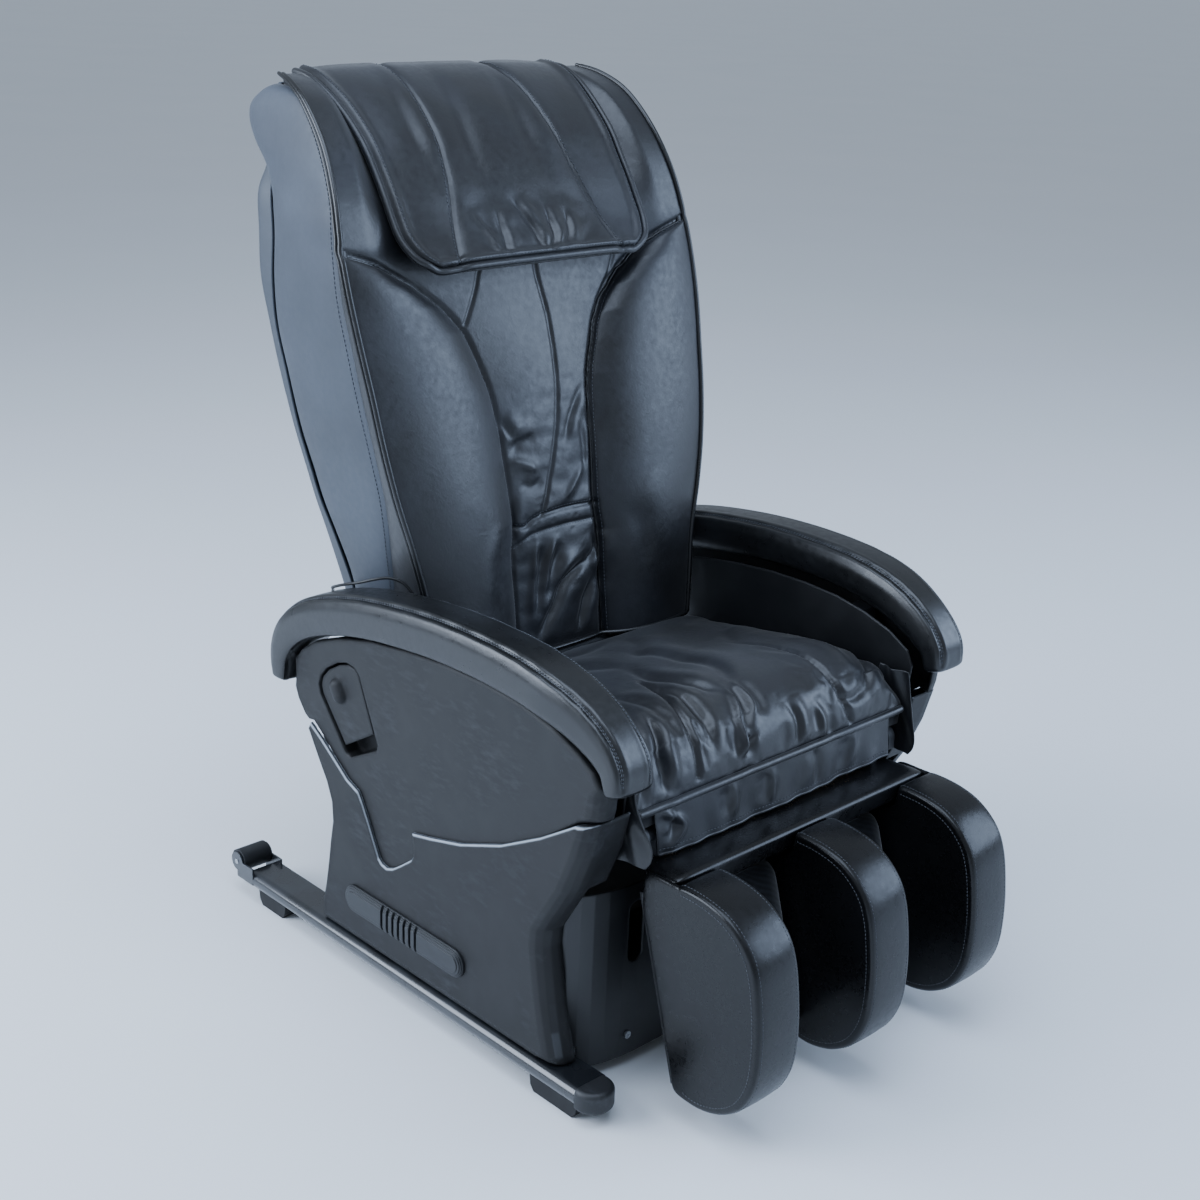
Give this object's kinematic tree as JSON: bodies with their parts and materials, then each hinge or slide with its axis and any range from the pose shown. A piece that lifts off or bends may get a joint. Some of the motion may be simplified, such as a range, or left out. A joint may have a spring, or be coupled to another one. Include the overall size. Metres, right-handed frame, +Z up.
{
  "type": "massage chair",
  "caption": "Household reclining massage chair with arched arms, stepped side covers, floor rails, rear rollers, a travelling massage unit in the back and a finned leg rest.",
  "frame": {"origin": "middle of the chair's overall box, on the floor", "axes": "+X to the sitter's left, +Y to the back of the chair, +Z up"},
  "size_m": [0.682, 0.952, 1.177],
  "materials": {
    "rail_paint": "gloss",
    "roller_plastic": "matt",
    "pad_rubber": "matt",
    "frame_paint": "satin",
    "steel": "bright",
    "control_plastic": "matt",
    "cover_plastic": "fine texture",
    "panel_plastic": "satin",
    "black_plastic": "satin",
    "cord_jacket": "satin",
    "plywood": "raw",
    "seat_leather": "soft",
    "arm_leather": "smooth",
    "side_vinyl": "matt",
    "shell_plastic": "satin",
    "calf_cloth": "matt",
    "wheel_plastic": "satin",
    "cast_metal": "cast"
  },
  "bodies": {
    "base": {"rail_right": "rail_paint", "rail_left": "rail_paint", "rail_cap_right": "roller_plastic", "rail_cap_left": "roller_plastic", "floor_pads": "pad_rubber", "roller_axles": "steel", "base_frame": "frame_paint", "control_box": "control_plastic", "kick_panel": "panel_plastic", "kick_screws": "steel", "rear_panel": "panel_plastic", "mains_inlet": "black_plastic", "handset_socket": "black_plastic", "handset_cord": "cord_jacket", "handset": "black_plastic", "seat_frame": "frame_paint", "seat_board": "plywood", "seat_cushion": "seat_leather", "seat_skirt": "seat_leather", "side_skirt_right": "seat_leather", "side_skirt_left": "seat_leather", "lower_cover_right": "cover_plastic", "lower_cover_left": "cover_plastic", "upper_cover_right": "cover_plastic", "upper_cover_left": "cover_plastic", "side_grip_right": "panel_plastic", "side_grip_left": "panel_plastic", "arm_pad_right": "arm_leather", "arm_pad_left": "arm_leather", "inner_panel_right": "panel_plastic", "inner_panel_left": "panel_plastic", "gas_spring": "frame_paint"},
    "back": {"back_frame": "frame_paint", "guide_rails": "steel", "lead_screw": "steel", "back_shell": "shell_plastic", "back_side_right": "side_vinyl", "back_side_left": "side_vinyl", "back_cushion": "seat_leather", "headrest_flap": "seat_leather"},
    "unit": {"carriage": "cast_metal", "unit_motors": "frame_paint"},
    "knead_right": {"knead_arm_right": "cast_metal"},
    "knead_left": {"knead_arm_left": "cast_metal"},
    "wheel_ru": {"wheel_right_upper": "wheel_plastic"},
    "wheel_rl": {"wheel_right_lower": "wheel_plastic"},
    "wheel_lu": {"wheel_left_upper": "wheel_plastic"},
    "wheel_ll": {"wheel_left_lower": "wheel_plastic"},
    "leg": {"leg_frame": "frame_paint", "leg_board": "panel_plastic", "fin_right": "arm_leather", "fin_middle": "arm_leather", "fin_left": "arm_leather", "calf_pads": "calf_cloth", "leg_top_pad": "arm_leather"},
    "push": {"push_rod": "steel"},
    "lever": {"recline_lever": "cover_plastic"},
    "switch": {"power_switch": "black_plastic"},
    "roller_r": {"roller_right": "roller_plastic"},
    "roller_l": {"roller_left": "roller_plastic"}
  },
  "joints": [
    {"name": "back_recline", "type": "hinge", "parent": "base", "child": "back", "pos_m": [0, 0.15, 0.395], "axis": [-1, 0, 0], "range_deg": [0, 45]},
    {"name": "leg_lift", "type": "hinge", "parent": "base", "child": "leg", "pos_m": [0, -0.255, 0.345], "axis": [-1, 0, 0], "range_deg": [0, 73], "deforming": ["seat_skirt"]},
    {"name": "push_slide", "type": "slide", "parent": "base", "child": "push", "axis": [0, -1, 0], "range_m": [0, 0.06546]},
    {"name": "unit_travel", "type": "slide", "parent": "back", "child": "unit", "axis": [0, 0.23, 0.9732], "range_m": [-0.08, 0.12]},
    {"name": "knead_right_rock", "type": "hinge", "parent": "unit", "child": "knead_right", "pos_m": [-0.06, 0.31899, 0.7969], "axis": [1, 0, 0], "range_deg": [-8, 8]},
    {"name": "knead_left_rock", "type": "hinge", "parent": "unit", "child": "knead_left", "pos_m": [0.06, 0.31899, 0.7969], "axis": [1, 0, 0], "range_deg": [-8, 8]},
    {"name": "wheel_right_upper_spin", "type": "hinge", "parent": "knead_right", "child": "wheel_ru", "pos_m": [-0.081, 0.30119, 0.86071], "axis": [1, 0, 0], "continuous": true},
    {"name": "wheel_right_lower_spin", "type": "hinge", "parent": "knead_right", "child": "wheel_rl", "pos_m": [-0.081, 0.27451, 0.74782], "axis": [1, 0, 0], "continuous": true},
    {"name": "wheel_left_upper_spin", "type": "hinge", "parent": "knead_left", "child": "wheel_lu", "pos_m": [0.081, 0.30119, 0.86071], "axis": [1, 0, 0], "continuous": true},
    {"name": "wheel_left_lower_spin", "type": "hinge", "parent": "knead_left", "child": "wheel_ll", "pos_m": [0.081, 0.27451, 0.74782], "axis": [1, 0, 0], "continuous": true},
    {"name": "lever_lift", "type": "hinge", "parent": "base", "child": "lever", "pos_m": [-0.316, 0.197, 0.374], "axis": [0, 0.8536, -0.521], "range_deg": [0, 12], "stiffness_Nm_per_rad": 0.8, "springref_deg": -2.86},
    {"name": "switch_rock", "type": "hinge", "parent": "base", "child": "switch", "pos_m": [0.15, 0.223, 0.116], "axis": [0, 0, 1], "range_deg": [0, 16]},
    {"name": "roller_right_spin", "type": "hinge", "parent": "base", "child": "roller_r", "pos_m": [-0.314, 0.458, 0.052], "axis": [1, 0, 0], "continuous": true},
    {"name": "roller_left_spin", "type": "hinge", "parent": "base", "child": "roller_l", "pos_m": [0.314, 0.458, 0.052], "axis": [1, 0, 0], "continuous": true}
  ],
  "couplings": [
    {"joint": "leg_lift", "follows": "back_recline", "ratio": 1.6222},
    {"joint": "push_slide", "follows": "back_recline", "m_per_rad": 0.082832},
    {"joint": "knead_left_rock", "follows": "knead_right_rock", "ratio": -1}
  ]
}
